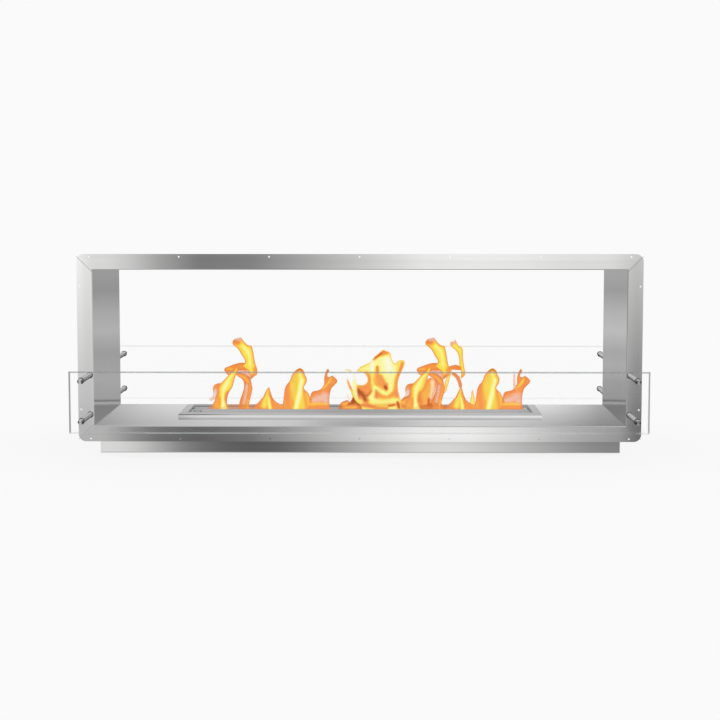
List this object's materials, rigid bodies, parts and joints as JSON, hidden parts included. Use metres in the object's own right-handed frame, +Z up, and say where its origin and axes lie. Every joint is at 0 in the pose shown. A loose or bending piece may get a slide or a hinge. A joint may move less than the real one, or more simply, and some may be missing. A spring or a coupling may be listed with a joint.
{
  "type": "double-sided fireplace",
  "caption": "See-through built-in fireplace: a folded steel tunnel casing with a drop-in fuel burner, a sliding snuffer lid and glass guards on standoffs at both sides.",
  "frame": {"origin": "middle of the base's underside, on the surface that the fireplace stands on", "axes": "+X along the fire to the right seen from the front, +Y from the front flange to the back, +Z up"},
  "size_m": [1.524, 0.828, 0.5535],
  "materials": {
    "casing_steel": "brushed lengthways, satin",
    "base_steel": "brushed lengthways, satin",
    "burner_steel": "brushed lengthways, satin",
    "lid_steel": "brushed lengthways, heat-dulled",
    "tank_steel": "mill finish",
    "fastener_steel": "turned and polished",
    "guard_glass": "clear toughened glass with ground edges",
    "rubber_pad": "black silicone",
    "ceramic_wool": "matte white fibre",
    "fire_gasket": "matte woven fibre",
    "flame": "glowing flame, drawn in the scene only"
  },
  "bodies": {
    "fireplace": {"ceiling_panel": "casing_steel", "floor_panel": "casing_steel", "left_wall": "casing_steel", "right_wall": "casing_steel", "base_channel": "base_steel", "base_end_left": "base_steel", "base_end_right": "base_steel", "burner_gasket": "fire_gasket", "overflow_tray": "tank_steel", "fuel_tank": "tank_steel", "fuel_wool": "ceramic_wool", "wool_screen": "tank_steel", "burner_deck": "burner_steel", "burner_rim": "burner_steel", "front_glass": "guard_glass", "rear_glass": "guard_glass", "standoff_barrels": "fastener_steel", "standoff_caps": "fastener_steel", "standoff_studs": "fastener_steel", "inner_glass_pads": "rubber_pad", "outer_glass_pads": "rubber_pad", "flange_washers": "fastener_steel", "flange_nuts": "fastener_steel"},
    "lid": {"snuffer_lid": "lid_steel"}
  },
  "joints": [
    {"name": "lid_slide", "type": "slide", "parent": "fireplace", "child": "lid", "axis": [0, 1, 0], "range_m": [0, 0.05]}
  ]
}
